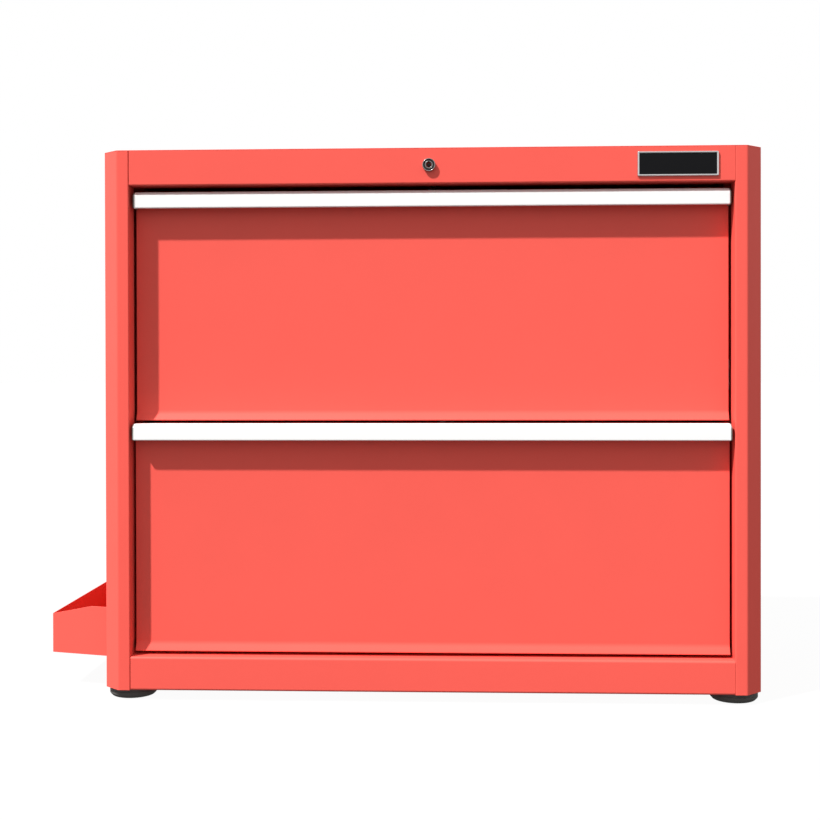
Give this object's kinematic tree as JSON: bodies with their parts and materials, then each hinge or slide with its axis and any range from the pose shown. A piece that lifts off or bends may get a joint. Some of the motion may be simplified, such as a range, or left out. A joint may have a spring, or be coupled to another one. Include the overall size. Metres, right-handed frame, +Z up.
{
  "type": "tool cabinet",
  "caption": "Sheet steel tool cabinet with tall full-width drawers on ball bearing slides, a key lock bar, rubber feet and an open side bin.",
  "frame": {"origin": "on the floor, under the middle of the cabinet body (the side bin stands outside that middle)", "axes": "+Z up, -Y is the front with the drawers, +X to the right seen from the front"},
  "size_m": [1.007, 0.485, 0.763],
  "materials": {
    "red_paint": "fine-textured semi-gloss powder coat",
    "handle_white": "white satin coat on extruded aluminium",
    "cap_grey": "moulded, satin",
    "foot_rubber": "moulded, matt",
    "badge_field": "glossy black, bare",
    "bright_metal": "polished plate",
    "lock_dark": "turned",
    "cage_plastic": "moulded",
    "zinc_steel": "zinc plated"
  },
  "bodies": {
    "cabinet": {"back_panel": "red_paint", "badge_frame": "bright_metal", "badge_plate": "badge_field", "bottom_panel": "red_paint", "bottom_rail": "red_paint", "foot_bolts": "zinc_steel", "foot_nuts": "zinc_steel", "front_left_foot": "foot_rubber", "front_right_foot": "foot_rubber", "left_side_panel": "red_paint", "left_uprights": "red_paint", "lock_bar_guides": "zinc_steel", "lock_housing": "bright_metal", "lock_nut": "zinc_steel", "lock_shaft_bracket": "zinc_steel", "lower_left_cabinet_slide": "zinc_steel", "lower_right_cabinet_slide": "zinc_steel", "rear_left_foot": "foot_rubber", "rear_right_foot": "foot_rubber", "right_side_panel": "red_paint", "right_uprights": "red_paint", "side_bin": "red_paint", "side_bin_screws": "zinc_steel", "slide_screws": "zinc_steel", "top_panel": "red_paint", "top_rail": "red_paint", "upper_left_cabinet_slide": "zinc_steel", "upper_right_cabinet_slide": "zinc_steel"},
    "lower_drawer": {"lower_drawer_box": "red_paint", "lower_drawer_front": "red_paint", "lower_front_studs": "zinc_steel", "lower_handle": "handle_white", "lower_left_drawer_slide": "zinc_steel", "lower_left_handle_cap": "cap_grey", "lower_lock_catch": "zinc_steel", "lower_right_drawer_slide": "zinc_steel", "lower_right_handle_cap": "cap_grey", "lower_slide_rivets": "zinc_steel"},
    "lower_middle_slides": {"lower_left_middle_slide": "zinc_steel", "lower_right_middle_slide": "zinc_steel"},
    "lower_outer_cages": {"lower_outer_ball_cages": "cage_plastic"},
    "lower_inner_cages": {"lower_inner_ball_cages": "cage_plastic"},
    "upper_drawer": {"upper_drawer_box": "red_paint", "upper_drawer_front": "red_paint", "upper_front_studs": "zinc_steel", "upper_handle": "handle_white", "upper_left_drawer_slide": "zinc_steel", "upper_left_handle_cap": "cap_grey", "upper_lock_catch": "zinc_steel", "upper_right_drawer_slide": "zinc_steel", "upper_right_handle_cap": "cap_grey", "upper_slide_rivets": "zinc_steel"},
    "upper_middle_slides": {"upper_left_middle_slide": "zinc_steel", "upper_right_middle_slide": "zinc_steel"},
    "upper_outer_cages": {"upper_outer_ball_cages": "cage_plastic"},
    "upper_inner_cages": {"upper_inner_ball_cages": "cage_plastic"},
    "lock_core": {"lock_plug": "lock_dark", "lock_shaft": "zinc_steel"},
    "lock_bar": {"lock_bar": "zinc_steel"}
  },
  "joints": [
    {"name": "lower_drawer_slide", "type": "slide", "parent": "cabinet", "child": "lower_drawer", "axis": [0, -1, 0], "range_m": [-0.008, 0.382]},
    {"name": "lower_middle_slides_slide", "type": "slide", "parent": "cabinet", "child": "lower_middle_slides", "axis": [0, -1, 0], "range_m": [-0.0042, 0.1912]},
    {"name": "lower_outer_cages_slide", "type": "slide", "parent": "cabinet", "child": "lower_outer_cages", "axis": [0, -1, 0], "range_m": [-0.0022, 0.0957]},
    {"name": "lower_inner_cages_slide", "type": "slide", "parent": "cabinet", "child": "lower_inner_cages", "axis": [0, -1, 0], "range_m": [-0.0062, 0.2867]},
    {"name": "upper_drawer_slide", "type": "slide", "parent": "cabinet", "child": "upper_drawer", "axis": [0, -1, 0], "range_m": [0, 0.39]},
    {"name": "upper_middle_slides_slide", "type": "slide", "parent": "cabinet", "child": "upper_middle_slides", "axis": [0, -1, 0], "range_m": [0, 0.1952]},
    {"name": "upper_outer_cages_slide", "type": "slide", "parent": "cabinet", "child": "upper_outer_cages", "axis": [0, -1, 0], "range_m": [0, 0.0977]},
    {"name": "upper_inner_cages_slide", "type": "slide", "parent": "cabinet", "child": "upper_inner_cages", "axis": [0, -1, 0], "range_m": [0, 0.2927]},
    {"name": "lock_turn", "type": "hinge", "parent": "cabinet", "child": "lock_core", "pos_m": [0, -0.24, 0.739], "axis": [0, 1, 0], "range_deg": [0, 90]},
    {"name": "lock_bar_lift", "type": "slide", "parent": "cabinet", "child": "lock_bar", "axis": [0, 0, -1], "range_m": [0, 0.0212]}
  ],
  "couplings": [
    {"joint": "lower_middle_slides_slide", "follows": "lower_drawer_slide", "ratio": 0.5},
    {"joint": "lower_outer_cages_slide", "follows": "lower_drawer_slide", "ratio": 0.25},
    {"joint": "lower_inner_cages_slide", "follows": "lower_drawer_slide", "ratio": 0.75},
    {"joint": "upper_middle_slides_slide", "follows": "upper_drawer_slide", "ratio": 0.5},
    {"joint": "upper_outer_cages_slide", "follows": "upper_drawer_slide", "ratio": 0.25},
    {"joint": "upper_inner_cages_slide", "follows": "upper_drawer_slide", "ratio": 0.75},
    {"joint": "lock_turn", "follows": "lock_bar_lift", "rad_per_m": 74.05}
  ]
}
